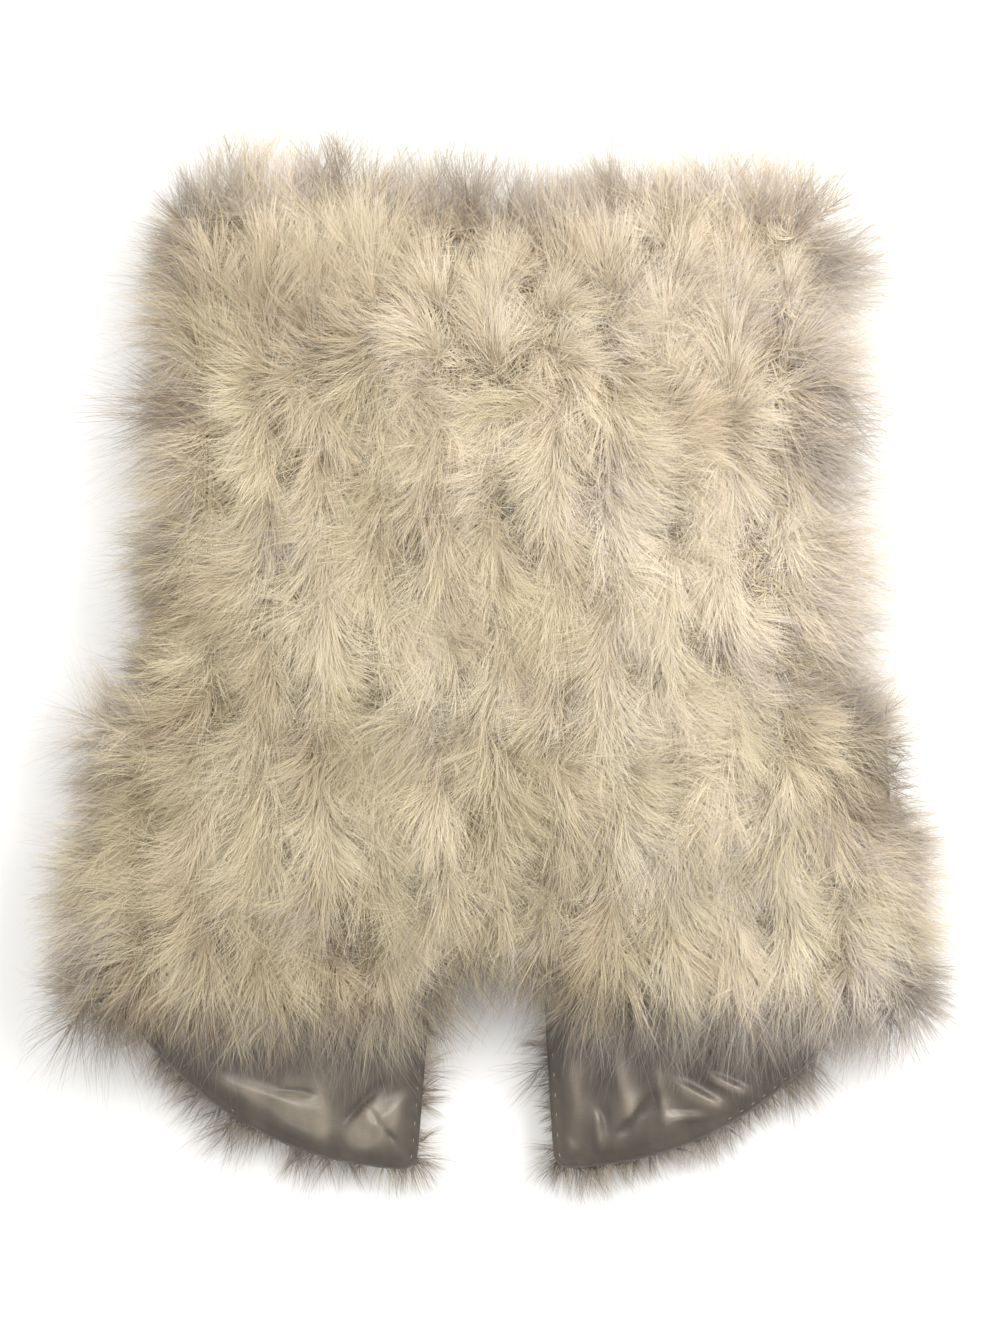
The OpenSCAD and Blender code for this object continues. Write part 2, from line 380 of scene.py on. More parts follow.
class Cloth:
    """A flat sheet's outline, with how deep inside it any point lies. Outside, the depth is negative."""

    def __init__(self, name):
        self.loop = outline(name)
        self.cell = 3 * MM
        margin = 130 * MM
        self.low = self.loop.min(axis=0) - margin
        self.count = np.ceil((self.loop.max(axis=0) + margin - self.low) / self.cell).astype(int) + 1
        steps = [self.low[i] + np.arange(self.count[i]) * self.cell for i in (0, 1)]
        self.grid = np.stack(np.meshgrid(*steps, indexing="ij"), axis=-1)
        self.depths = self.measured(self.grid.reshape(-1, 2)).reshape(self.count)
        self.away = unit(-np.stack(np.gradient(self.depths, self.cell), axis=-1))
        self.flow = self.combed()

    def measured(self, points):
        """The depth of points, from the nearest side of the loop and the sides crossed on the way out."""
        nearest = np.full(len(points), np.inf)
        inside = np.zeros(len(points), bool)
        for a, b in zip(self.loop, np.roll(self.loop, -1, axis=0)):
            along = b - a
            t = np.clip((points - a) @ along / (along @ along), 0, 1)
            nearest = np.minimum(nearest, np.linalg.norm(points - a - t[:, None] * along, axis=1))
            crosses = (a[1] > points[:, 1]) != (b[1] > points[:, 1])
            rise = along[1] if along[1] else 1e-12
            inside ^= crosses & (points[:, 0] < a[0] + (points[:, 1] - a[1]) * along[0] / rise)
        return np.where(inside, nearest, -nearest)

    def combed(self):
        """The way the down lies at each grid point: outward near an edge, otherwise mostly down the back."""
        xy, depth = self.grid, self.depths[..., None]
        near_edge = smoothstep(70 * MM, 8 * MM, depth)
        upper = smoothstep(0.12, 0.25, xy[..., 1:2])
        down = np.array([0.0, -1.0]) * (1 - upper) + np.array([0.0, 1.0]) * upper
        sideways = np.stack([xy[..., 0] * 4.0, np.zeros(xy.shape[:2])], axis=-1)
        way = unit(sideways + down) * (1 - near_edge) + unit(self.away + 0.55 * down) * near_edge * 1.5
        angle = np.arctan2(way[..., 1], way[..., 0])
        swirl = 0.8 * soft_noise(xy, 80 * MM, "swirl") + 0.45 * soft_noise(xy, 32 * MM, "eddies")
        angle += swirl * (1 - 0.65 * near_edge[..., 0])
        return np.stack([np.cos(angle), np.sin(angle)], axis=-1)

    def read(self, table, xy):
        """The value of a table on the grid, at any points."""
        place = np.clip((xy - self.low) / self.cell, 0, self.count - 1.001)
        corner = place.astype(int)
        i, j = corner[..., 0], corner[..., 1]
        u, v = np.moveaxis(place - corner, -1, 0)
        if table.ndim == 3:
            u, v = u[..., None], v[..., None]
        near = table[i, j] * (1 - u) + table[i + 1, j] * u
        far = table[i, j + 1] * (1 - u) + table[i + 1, j + 1] * u
        return near * (1 - v) + far * v

    def depth(self, xy):
        return self.read(self.depths, xy)

    def outward(self, xy):
        return unit(self.read(self.away, xy))


class Swing:
    """Turns points between a front as it lies at rest and as it is when closed. The back stays as it is."""

    def __init__(self, body):
        joint = next((j for j in frame["record"]["behaviour"]["joints"] if j["child"] == body), None)
        self.pivot = np.array(joint["pos_m"][:2]) if joint else np.zeros(2)
        self.angle = math.radians(joint["range_deg"][1]) * joint["axis"][2] if joint else 0.0

    def turned(self, points, angle):
        result = np.array(points, float)
        x, y = result[..., 0] - self.pivot[0], result[..., 1] - self.pivot[1]
        result[..., 0] = self.pivot[0] + x * math.cos(angle) - y * math.sin(angle)
        result[..., 1] = self.pivot[1] + x * math.sin(angle) + y * math.cos(angle)
        return result

    def closed(self, points):
        return self.turned(points, self.angle)

    def laid(self, points):
        return self.turned(points, -self.angle)


def linked(name, mesh, look):
    mesh.materials.append(look)
    made = bpy.data.objects.new(name, mesh)
    bpy.context.collection.objects.link(made)
    return made


def mesh_object(name, points, faces, look):
    mesh = bpy.data.meshes.new(name)
    mesh.from_pydata([tuple(p) for p in points], [], [tuple(int(i) for i in f) for f in faces])
    mesh.polygons.foreach_set("use_smooth", [True] * len(mesh.polygons))
    mesh.update()
    return linked(name, mesh, look)


def stands_for(piece, nodes, body):
    """The piece replaces CAD nodes and rides on a body."""
    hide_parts(*nodes)
    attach(piece, body)
    return piece


# -------- plumes


BARB_STEPS = 5
QUILL_STEPS = 6


def horizontal(heading):
    return np.stack([np.cos(heading), np.sin(heading), np.zeros_like(heading)], axis=-1)


class Plumes:
    """A set of plumes: where each is rooted and the way it lies, and the ranges of how steeply it rises, how
    it settles, its length, and the reach of its barbs. The last two are in millimetres."""

    def __init__(self, rng, root, heading, rise, settle, length, reach):
        count = len(root)
        self.rng, self.root, self.heading = rng, root, heading
        self.rise, self.settle = rng.uniform(*rise, count), rng.uniform(*settle, count)
        self.length, self.reach = rng.uniform(*length, count), rng.uniform(*reach, count)
        self.bend = rng.normal(0, 0.3, count)
        self.roll = rng.normal(0, 0.4, count)
        self.sweep = rng.normal(0, 0.14, (count, 3))

    def quills(self):
        """Each quill's points, and its direction at each step."""
        t = (np.arange(QUILL_STEPS) + 0.5) / QUILL_STEPS
        azimuth = self.heading[:, None] + self.bend[:, None] * t
        pitch = self.rise[:, None] + (self.settle - self.rise)[:, None] * t ** 0.7
        ahead = horizontal(azimuth) * np.cos(pitch)[..., None] + UP * np.sin(pitch)[..., None]
        moved = np.cumsum(ahead * (self.length * MM / QUILL_STEPS)[:, None, None], axis=1)
        start = np.zeros((len(self.root), 1, 3))
        return self.root[:, None, :] + np.concatenate([start, moved], axis=1), ahead

    def barbs(self, cloth, count, wild=0.1, stretch=1.0, combed=0.9, curl=1.0, droop=0.2):
        """Barbs along both sides of each quill, as paths from root to tip, and the plume of each.
        wild scatters the tips, combed draws them along the flow, curl waves them, droop lets them hang."""
        rng = self.rng
        curve, ahead = self.quills()
        owner = np.repeat(np.arange(len(curve)), count)
        total = len(owner)
        t = rng.beta(1.3, 1.0, total) * 0.96 + 0.02
        step = (t * QUILL_STEPS).astype(int)
        share = (t * QUILL_STEPS - step)[:, None]
        path = [curve[owner, step] * (1 - share) + curve[owner, step + 1] * share]
        tangent = ahead[owner, step]
        flat_side = unit(np.cross(UP, tangent))
        roll = (self.roll[owner] + rng.normal(0, 0.4, total))[:, None]
        side = flat_side * np.cos(roll) + np.cross(tangent, flat_side) * np.sin(roll)
        side *= np.where(rng.random(total) < 0.5, -1, 1)[:, None]
        angle = (1 - 0.6 * t + rng.normal(0, 0.15, total))[:, None]
        begin = tangent * np.cos(angle) + side * np.sin(angle)
        end = ahead[owner, -1] * 0.7 + side * 0.25 + self.sweep[owner] - UP * droop
        end += rng.normal(0, wild, (total, 3))
        length = self.reach[owner] * MM * (0.6 + 0.4 * np.sin(math.pi * t ** 0.8))
        length *= rng.uniform(0.6, 1.15, total)
        wave_way = unit(rng.normal(0, 1, (total, 3)))
        wave_size = rng.uniform(0.03, 0.22, total) * curl
        phase = rng.uniform(0, 2 * math.pi, total)
        for k in range(BARB_STEPS):
            u = (k + 0.5) / BARB_STEPS
            wave = (wave_size * u * np.sin(5.0 * u + phase))[:, None] * wave_way
            way = begin * (1 - u) ** 1.2 + unit(end) * u ** 0.9 + wave
            way[:, :2] += cloth.read(cloth.flow, path[-1][:, :2]) * combed * u
            path.append(path[-1] + unit(way) * (length * stretch / BARB_STEPS)[:, None])
        return np.stack(path, axis=1), owner


def ribbons(name, paths, width, facing, tint, look):
    """One mesh of thin tapered ribbons. Each lies along a path, with its flat side turned towards facing."""
    count, points = paths.shape[:2]
    steps = points - 1
    across = unit(np.cross(unit(np.gradient(paths, axis=1)), facing[:, None, :]))
    u = np.arange(steps) / steps
    half = (width[:, None] * 0.5 * (1 - 0.82 * u ** 1.3))[:, :, None]
    left = paths[:, :-1] - across[:, :-1] * half
    right = paths[:, :-1] + across[:, :-1] * half
    body = np.stack([left, right], axis=2).reshape(count, 2 * steps, 3)
    verts = np.concatenate([body, paths[:, -1:]], axis=1)
    per = 2 * steps + 1
    quads = [[2 * k, 2 * k + 1, 2 * k + 3, 2 * k + 2] for k in range(steps - 1)]
    tip = [2 * steps - 2, 2 * steps - 1, 2 * steps]
    corners = (np.arange(count)[:, None] * per + np.concatenate([np.ravel(quads), tip])).ravel()
    sizes = np.tile([4] * (steps - 1) + [3], count)
    starts = np.concatenate([[0], np.cumsum(sizes)[:-1]])
    mesh = bpy.data.meshes.new(name)
    mesh.vertices.add(count * per)
    mesh.vertices.foreach_set("co", verts.ravel().astype(np.float32))
    mesh.loops.add(len(corners))
    mesh.loops.foreach_set("vertex_index", corners.astype(np.int32))
    mesh.polygons.add(len(sizes))
    mesh.polygons.foreach_set("loop_start", starts.astype(np.int32))
    mesh.polygons.foreach_set("use_smooth", np.ones(len(sizes), bool))
    mesh.update(calc_edges=True)
    height = np.concatenate([np.repeat(np.arange(steps), 2), [steps]]) / steps
    uv = np.stack([np.repeat(tint, per), np.tile(height * 0.98 + 0.01, count)], axis=-1)
    layer = mesh.uv_layers.new(name="OFBake")
    layer.data.foreach_set("uv", uv[corners].ravel().astype(np.float32))
    return linked(name, mesh, look)


class Row:
    """A feather row's place when its panel is closed, and the middle line its plumes are bound to."""

    def __init__(self, node, body):
        self.node, self.body = node, body
        self.rng = dice(node)
        self.swing = Swing(body)
        points = self.swing.closed(node_triangles(node).reshape(-1, 3))
        low, high = points.min(axis=0), points.max(axis=0)
        self.x, self.half_width = (low[0] + high[0]) / 2, (high[0] - low[0]) / 2
        self.low_y, self.high_y = low[1], high[1]
        self.low_z, self.high_z = low[2], high[2]

    def middle(self, cloth, spacing, ends, inside):
        """Roots scattered along the row, drawn in where they would lie too near the cloth's edge."""
        count = int((self.high_y - self.low_y - ends[0] - ends[1]) / spacing)
        along = np.linspace(self.low_y + ends[0], self.high_y - ends[1], count)
        along += self.rng.normal(0, 0.35 * spacing, count)
        across = self.x + self.rng.normal(0, 3.5 * MM, count)
        inner = self.swing.laid(np.column_stack([across, along, np.zeros(count)]))[:, :2]
        shallow = np.maximum(inside - cloth.depth(inner), 0)[:, None]
        return inner - cloth.outward(inner) * shallow

    def all_over(self, cloth, spacing, inside):
        """Roots scattered over the whole of the row's width, where there is cloth under them."""
        xs = np.arange(self.x - self.half_width, self.x + self.half_width + spacing, spacing)
        ys = np.arange(self.low_y, self.high_y, spacing)
        spots = np.stack(np.meshgrid(xs, ys, indexing="ij"), axis=-1).reshape(-1, 2)
        spots += self.rng.uniform(-0.5, 0.5, spots.shape) * spacing
        spots = self.swing.laid(np.column_stack([spots, np.zeros(len(spots))]))[:, :2]
        return spots[cloth.depth(spots) > inside]

    def rim(self, cloth, spacing, inset):
        """Roots just inside the stretch of the cloth's edge that belongs to this row, and the way out."""
        loop = resampled(cloth.loop, spacing)
        mine = loop[np.abs(self.swing.closed(loop)[:, 0] - self.x) <= self.half_width + 0.5 * MM]
        out = cloth.outward(mine)
        return mine - out * inset, np.arctan2(out[:, 1], out[:, 0])

    def cord_ends(self):
        """The two ends of the cord, a little inside the ends of the row."""
        ends = np.array([[self.x, self.low_y + 40 * MM, 0], [self.x, self.high_y - 38 * MM, 0]])
        return self.swing.laid(ends)[:, :2]

    def parted(self, cloth, roots):
        """The way each plume lies: with the flow, and parted to one side or the other of the row."""
        flow = cloth.read(cloth.flow, roots)
        side = np.tanh(2.2 * soft_noise(roots, 42 * MM, self.node + "part"))
        side *= np.where(self.rng.random(len(roots)) < 0.18, -1, 1)
        stray = np.where(self.rng.random(len(roots)) < 0.14, 1.1, 0.2)
        return np.arctan2(flow[:, 1], flow[:, 0] + 0.6 * side) + self.rng.normal(0, 1, len(roots)) * stray


def boxed_in(paths):
    """Draws in the tips that would stand too far past the whole vest's box."""
    start, room = 7 * MM, 17 * MM
    for axis in (0, 1):
        past = np.maximum(np.abs(paths[..., axis]) - CAD_BOX[1][axis] - start, 0)
        paths[..., axis] -= np.sign(paths[..., axis]) * (past - room * (1 - np.exp(-past / room)))
    return paths


# Spots where the fringe is longer or shorter, and spots of painted light and shade on the down: lit patches
#  on the right, painted shade at the upper left and the bottom, and painted shadow at the right underarm.
#  Each has its place, its radius in millimetres and its strength.
FRINGE_SPOTS = [
    ((-0.205, 0.292), 30, -0.4), ((-0.200, 0.100), 26, -0.45), ((-0.190, 0.180), 36, 0.35),
    ((-0.130, 0.302), 45, 0.5), ((-0.015, 0.30), 38, 0.4), ((0.262, -0.215), 26, -0.2)]
LIGHT_AND_SHADE_SPOTS = [
    ((0.15, 0.06), 90, 0.18), ((-0.15, 0.21), 80, -0.15), ((0.0, -0.20), 80, -0.14),
    ((0.21, -0.15), 60, 0.10), ((0.213, -0.012), 11, -0.32), ((0.231, -0.032), 12, -0.34),
    ((0.250, -0.056), 13, -0.30), ((0.232, -0.076), 24, -0.14)]


def spotted(xy, spots):
    """The sum of soft round spots at any points."""
    total = np.zeros(xy.shape[:-1])
    for place, radius, strength in spots:
        total += strength * np.exp(-(((xy - np.array(place)) / (radius * MM)) ** 2).sum(axis=-1))
    return total


def thinned_shaded_patch(spot):
    """How far a spot lies in the patch at the right underarm where the down is thinned and painted with
    shadow, from 0 to 1.
    """
    # worn marks the middle of this thinned patch with its painted shadow.
    worn = np.array([0.243, -0.050])
    size = np.array([17, 30]) * MM
    return np.exp(-(((spot - worn) / size) ** 2).sum(axis=-1))


def tints(spot, row, cloth, owner, middle, ash_share):
    """Each barb's place across the colour map: which band of tint it takes, and how light it is in it. Its
    lightness and its share of ash both carry painted light and shade.
    """
    rng = row.rng
    # rim and low_hem mark the edge and the lower hem, where painted shade darkens the down and greys it.
    rim = smoothstep(16 * MM, -14 * MM, cloth.depth(spot))
    low_hem = smoothstep(-0.13, -0.23, spot[:, 1])
    # Painted light, paler to the right and the top, and painted shade at the spots, underarm, edge and hem.
    painted_light_and_shade = (0.58 * spot[:, 0] + 0.36 * spot[:, 1]) * (1 - 0.8 * rim) + spotted(spot, LIGHT_AND_SHADE_SPOTS)
    painted_light_and_shade -= 0.20 * thinned_shaded_patch(spot) + (0.16 + 0.22 * low_hem) * rim
    across = np.abs(spot[:, 0] - row.x) / row.half_width
    # Painted shade in the crevices between rows, where the plumes part.
    parting_shade = smoothstep(0.6, 1.1, across) * smoothstep(-0.10, 0.04, spot[:, 0]) * (1 - rim)
    patches = 0.11 * soft_noise(spot, 75 * MM, "tone") + 0.08 * soft_noise(spot, 22 * MM, "tufts")
    patches += 0.08 * soft_noise(spot * [0.3, 1.0], 48 * MM, row.node)
    plumes = owner.max() + 1
    # Each plume's tone differs at random; a tenth of them are paler, as painted highlights on the locks.
    own = rng.normal(0, 0.03, plumes) + 0.2 * (rng.random(plumes) < 0.1)
    tone = np.broadcast_to(middle, plumes)[owner] + painted_light_and_shade + patches - 0.12 * parting_shade
    tone += own[owner] + rng.normal(0, 0.028, len(owner))
    blush_share = smoothstep(-0.12, 0.30, 0.55 * spot[:, 0] + 0.8 * spot[:, 1])
    blush_share += 0.5 * low_hem + 0.4 * soft_noise(spot, 38 * MM, "blush")
    blush_share = np.clip(blush_share, 0, 1) * 0.85
    # Besides random patches, the ash band is added at the edge, the hem and the underarm as painted shade.
    ash_share = ash_share + 0.16 * soft_noise(spot, 50 * MM, "ash") + 0.42 * rim + 0.16 * low_hem
    ash_share += np.clip(0.8 * spot[:, 0], -0.08, 0.2) + 0.3 * thinned_shaded_patch(spot)
    band = np.where(rng.random(len(owner)) < blush_share, 0, 1)
    band = np.where(rng.random(len(owner)) < ash_share, 2, band)
    return (band + 0.03 + 0.94 * np.clip(tone, 0, 1)) / BANDS


def fringe_share(rim, out):
    """How long the fringe is along the edge, as a share of its usual length."""
    upward = np.sin(out)
    share = 1 + 0.24 * soft_noise(rim, 24 * MM, "fringe") + 0.12 * soft_noise(rim, 60 * MM, "lumps")
    share += 0.22 * np.abs(upward)
    share += 0.9 * smoothstep(0.1, 0.18, rim[:, 0]) * smoothstep(0.0, 0.06, rim[:, 1])
    return share * (1 + spotted(rim, FRINGE_SPOTS))


def facing_up(spot, row):
    """The way each barb's flat side faces: up, tilted by the lumps of the fluff, with a little scatter."""
    tilt = np.stack([soft_noise(spot, 38 * MM, name) for name in ("lean_x", "lean_y")], axis=-1) * 0.22
    tilt[:, 0] += np.clip((spot[:, 0] - row.x) / (18 * MM), -1, 1) * 0.2
    return unit(np.column_stack([tilt, np.ones(len(spot))]) + row.rng.normal(0, 0.13, (len(spot), 3)))


def grown(row, cloth, groups, settle, look):
    """All the barbs of a row as one piece. A group is a set of plumes, the number of barbs on each, their
    range of width in millimetres, their middle tone, their share of ash and their shape."""
    parts = []
    for plumes, count, widths, middle, ash_share, shape in groups:
        paths, owner = plumes.barbs(cloth, count, **shape)
        paths = settle(boxed_in(paths))
        spot = paths[:, 2, :2]
        tint = tints(spot, row, cloth, owner, middle, ash_share)
        width = row.rng.uniform(*widths, len(paths)) * MM
        parts.append((paths, width, facing_up(spot, row), tint))
    piece = ribbons(row.node + "_down", *(np.concatenate(part) for part in zip(*parts)), look)
    return stands_for(piece, [row.node], row.body)


def raised(paths, ground, scatter, rng):
    """Lifts what lies below the ground onto it, and each barb by up to scatter more."""
    lift = np.maximum(ground - paths[..., 2], 0)
    paths[..., 2] += lift + np.where(lift > 0, rng.uniform(0, scatter, len(paths))[:, None], 0)
    return paths


def over_fronts(xy, fronts):
    """Whether points lie above one of the fronts, or where a front comes when it closes."""
    swept = np.abs(xy[..., 0]) < 0.1
    return swept | (np.maximum(*(front.depth(xy) for front in fronts)) > -3 * MM)


def back_tufts(row, cloth):
    """The plumes along the cord. They rise from it, part to both sides and fall over their neighbours."""
    rng = row.rng
    inner = row.middle(cloth, spacing=3.4 * MM, ends=(46 * MM, 36 * MM), inside=12 * MM)
    inner = inner[rng.random(len(inner)) > 0.85 * thinned_shaded_patch(inner)]
    root = np.column_stack([inner, np.full(len(inner), row.low_z + 2 * MM)])
    tufts = Plumes(rng, root, row.parted(cloth, inner),
                   rise=(0.9, 1.4), settle=(0.0, 0.55), length=(17, 28), reach=(36, 52))
    edge = smoothstep(55 * MM, 8 * MM, cloth.depth(inner))
    tufts.rise -= 0.5 * edge
    tufts.settle -= 0.3 * edge
    loft = 1 + 0.16 * soft_noise(inner, 55 * MM, "loft")
    tufts.length *= loft
    tufts.reach *= loft
    return tufts


ARCH_HALF_WIDTH = 75 * MM


def back_edge(row, cloth):
    """The plumes along the cloth's edge: a fringe, its longer wisps, and a skirt that hides the seams."""
    rng = row.rng
    rim, out = row.rim(cloth, spacing=4.2 * MM, inset=8 * MM)
    kept = rng.random(len(rim)) > 0.9 * thinned_shaded_patch(rim)
    rim, out = rim[kept], out[kept]
    count = len(rim)
    tuft = fringe_share(rim, out)
    sag = 0.35 * smoothstep(0.2, 0.1, rim[:, 1])
    sagging = np.arctan2(np.sin(out) - sag, np.cos(out))
    at_hem, from_middle = rim[:, 1] < -0.1, np.abs(rim[:, 0])
    in_arch = smoothstep(ARCH_HALF_WIDTH, ARCH_HALF_WIDTH - 20 * MM, from_middle) * at_hem
    root = np.column_stack([rim, row.low_z + rng.uniform(-2, 14, count) * MM])

    def fringe_of(share):
        plumes = Plumes(rng, root, sagging + rng.normal(0, 0.35, count),
                        rise=(-0.2, 0.8), settle=(-0.4, 0.2), length=(10, 22), reach=(26, 42))
        plumes.length *= tuft
        plumes.reach *= share
        return plumes

    fringe = fringe_of(tuft * (1 + 0.12 * in_arch))
    wisps = fringe_of(tuft * (1.45 - 0.75 * in_arch))
    over_arch = at_hem & (np.sin(out) < -0.3) & (from_middle < ARCH_HALF_WIDTH)
    return fringe, wisps, skirt_of(row, rim[~over_arch], out[~over_arch])


def skirt_of(row, rim, out):
    """Short plumes just outside the edge, that hang down over the side of the vest."""
    rng, count = row.rng, len(rim)
    spot = rim + np.column_stack([np.cos(out), np.sin(out)]) * 10 * MM
    root = np.column_stack([spot, row.low_z + rng.uniform(-4, 3, count) * MM])
    return Plumes(rng, root, out + rng.normal(0, 0.4, count),
                  rise=(-0.6, 0.1), settle=(-1.5, -1.2), length=(6, 10), reach=(14, 24))


def back_underdown(row, cloth):
    """Short plumes all over the cloth, that hide it between the tufts."""
    spots = row.all_over(cloth, spacing=8 * MM, inside=5 * MM)
    count = len(spots)
    root = np.column_stack([spots, np.full(count, row.low_z)])
    return Plumes(row.rng, root, row.rng.uniform(-math.pi, math.pi, count),
                  rise=(0.5, 1.3), settle=(-0.1, 0.5), length=(8, 18), reach=(16, 28))


def back_row(node, cloth, fronts, look):
    """A row on the back. Its plumes stand free above the cloth and lie on whatever is below its edge."""
    row = Row(node, "back")
    tufts = back_tufts(row, cloth)
    fringe, wisps, skirt = back_edge(row, cloth)
    under = back_underdown(row, cloth)
    groups = [
        # The underdown's dark middle tone is painted shade beneath the tufts.
        (under, 13, (0.32, 0.6), 0.33, 0.1, {"wild": 0.25, "combed": 0.7}),
        (tufts, 50, (0.19, 0.36), 0.50, 0.06, {"wild": 0.2, "combed": 0.75, "curl": 1.8}),
        (tufts, 30, (0.11, 0.20), 0.68, 0.12, {"wild": 0.4, "stretch": 1.15, "combed": 0.5, "curl": 2.2}),
        (tufts, 7, (0.10, 0.16), 1.0, 0.2, {"wild": 0.8, "stretch": 1.4, "combed": 0.2, "curl": 3.5}),
        (fringe, 28, (0.20, 0.38), 0.44, 0.2, {"wild": 0.12}),
        (wisps, 24, (0.10, 0.18), 0.50, 0.4, {"wild": 0.22, "combed": 0.4}),
        (skirt, 28, (0.24, 0.44), 0.44, 0.25, {"wild": 0.18, "combed": 0.1, "droop": 0.9})]
    ceiling, headroom = row.high_z + 1 * MM, 9 * MM
    on_table, on_lining = 1 * MM, heights("front_left_lining")[1] + 4 * MM

    def settle(paths):
        """Presses the tops down, and lets nothing sink into what lies below."""
        above = np.maximum(paths[..., 2] - ceiling, 0)
        paths[..., 2] -= above - headroom * (1 - np.exp(-above / (3 * headroom)))
        past = np.maximum(-cloth.depth(paths[..., :2]), 0)
        below = np.where(over_fronts(paths[..., :2], fronts), on_lining, on_table)
        ground = np.maximum(row.low_z - 1.5 * MM - np.maximum(past - 2 * MM, 0) * 5, below)
        return raised(paths, ground, 3 * MM, row.rng)

    return grown(row, cloth, groups, settle, look)


def front_tufts(row, cloth):
    """The plumes along the cord, turned down towards the table."""
    inner = row.middle(cloth, spacing=6 * MM, ends=(26 * MM, 14 * MM), inside=12 * MM)
    root = np.column_stack([inner, np.full(len(inner), row.high_z - 1 * MM)])
    tufts = Plumes(row.rng, root, row.parted(cloth, inner),
                   rise=(-1.2, -0.4), settle=(-0.1, 0.2), length=(16, 28), reach=(26, 40))
    edge = smoothstep(55 * MM, 8 * MM, cloth.depth(inner))
    tufts.length *= 1 - 0.3 * edge
    tufts.reach *= 1 - 0.35 * edge
    return tufts


def front_edge(row, cloth):
    """The plumes along the cloth's edge, sparser on the front edge, and how far each is on that one."""
    rng = row.rng
    rim, out = row.rim(cloth, spacing=4.5 * MM, inset=8 * MM)
    on_front_edge = smoothstep(0.75, 0.95, -np.cos(out) * np.sign(row.x)) * (rng.random(len(rim)) < 0.9)
    kept = rng.random(len(rim)) > 0.15 + 0.6 * on_front_edge
    rim, out, on_front_edge = rim[kept], out[kept], on_front_edge[kept]
    count = len(rim)
    root = np.column_stack([rim, row.high_z - rng.uniform(1, 12, count) * MM])
    fringe = Plumes(rng, root, out + rng.normal(0, 0.35, count),
                    rise=(-0.5, 0.1), settle=(-0.2, 0.2), length=(10, 20), reach=(22, 36))
    tuft = (0.85 + 0.2 * soft_noise(rim, 26 * MM, "fringe")) * (1 - 0.25 * on_front_edge)
    fringe.length *= tuft
    fringe.reach *= tuft
    return fringe, on_front_edge


def front_row(node, body, cloth, look):
    """A row under a front. Its plumes are pressed flat between the cloth and the table."""
    row = Row(node, body)
    tufts = front_tufts(row, cloth)
    fringe, on_front_edge = front_edge(row, cloth)
    pale = 0.22 * on_front_edge
    groups = [
        # The fronts' plumes take low, ash-heavy tones as painted shade under the flaps and the back's hem.
        (tufts, 40, (0.25, 0.5), 0.36, 0.4, {"droop": 0.05}),
        (fringe, 22, (0.18, 0.32), 0.34 + pale, 0.3, {"droop": 0.05, "wild": 0.14}),
        (fringe, 24, (0.10, 0.18), 0.50 + pale, 0.3, {"droop": 0.05, "wild": 0.24, "stretch": 1.35})]

    def settle(paths):
        """Keeps the barbs off the table and below the cloth, except where they curl up past its edge."""
        past = np.clip(-cloth.depth(paths[..., :2]) - 2 * MM, 0, 12 * MM)
        from_middle = row.swing.closed(paths)[..., 0] * np.sign(row.x)
        rise = 0.5 * past * smoothstep(4 * MM, 20 * MM, from_middle) - 2 * MM * (from_middle < 4 * MM)
        paths[..., 2] = np.minimum(paths[..., 2], row.high_z - 0.5 * MM + rise)
        return raised(paths, 0.8 * MM, 5 * MM, row.rng)

    return grown(row, cloth, groups, settle, look)


# -------- cloth


def spread_sheet(name, cloth, upper, lower, look, spacing, inset=0.0):
    """A closed thin sheet over an outline. upper and lower give its two heights at any points."""
    rim = resampled(cloth.loop, spacing)
    rim -= cloth.outward(rim) * inset
    low, high = cloth.loop.min(axis=0), cloth.loop.max(axis=0)
    xs = np.arange(low[0], high[0], spacing)
    ys = np.arange(low[1], high[1], spacing)
    inner = np.stack(np.meshgrid(xs, ys, indexing="ij"), axis=-1).reshape(-1, 2)
    inner = inner[cloth.depth(inner) > 0.6 * spacing]
    points = [Vector(p) for p in np.concatenate([rim, inner])]
    count = len(rim)
    border = [(i, (i + 1) % count) for i in range(count)]
    flat, _, faces = delaunay_2d_cdt(points, border, [], 1, 1e-6)[:3]
    xy = np.array([tuple(p) for p in flat])
    total = len(xy)
    top = np.column_stack([xy, upper(xy)])
    bottom = np.column_stack([xy, lower(xy)])
    under = [tuple(i + total for i in reversed(face)) for face in faces]
    walls = [(b, a, a + total, b + total) for a, b in border]
    return mesh_object(name, np.concatenate([top, bottom]), list(faces) + under + walls, look)


def cut_area(loop):
    """The area inside a closed loop."""
    following = np.roll(loop, -1, axis=0)
    return abs(float((loop[:, 0] * following[:, 1] - loop[:, 1] * following[:, 0]).sum())) / 2


def declared_sheet(piece, cloth, rests_on):
    """Gives back the piece unchanged. The area inside the cloth's outline and the list of what it rests on
    are worked out but not used.
    """
    cut_area(cloth.loop)
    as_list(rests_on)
    return piece


def base_cloth(node, body, cloth, look, rests_on):
    """The woven cloth the boa strips are sewn to, with the slight cockle that the stitching gives it."""
    low, high = heights(node)
    thickness = (high - low) * 0.7

    def lower(xy):
        return low + 0.15 * MM + 0.1 * MM * soft_noise(xy, 20 * MM, node)

    def upper(xy):
        return lower(xy) + thickness

    piece = spread_sheet(node + "_cloth", cloth, upper, lower, look, 7 * MM, 1.0 * MM)
    return declared_sheet(stands_for(piece, [node], body), cloth, rests_on)


def ridge(xy, place, turn, length, width, height, lee=1.0, sharp=2.0):
    """One fold of a sheet, with its sizes in millimetres. It lies turn degrees from +X, fades out at its
    ends, and is lee times as wide on its left as on its right."""
    way = np.array([math.cos(math.radians(turn)), math.sin(math.radians(turn))])
    from_place = xy - np.array(place)
    along = from_place @ way
    across = from_place @ np.array([-way[1], way[0]])
    width = np.where(across > 0, width * lee, width) * MM
    fade = np.exp(-(along / (length * MM / 2)) ** 4)
    return height * MM * np.exp(-np.abs(across / width) ** sharp) * fade


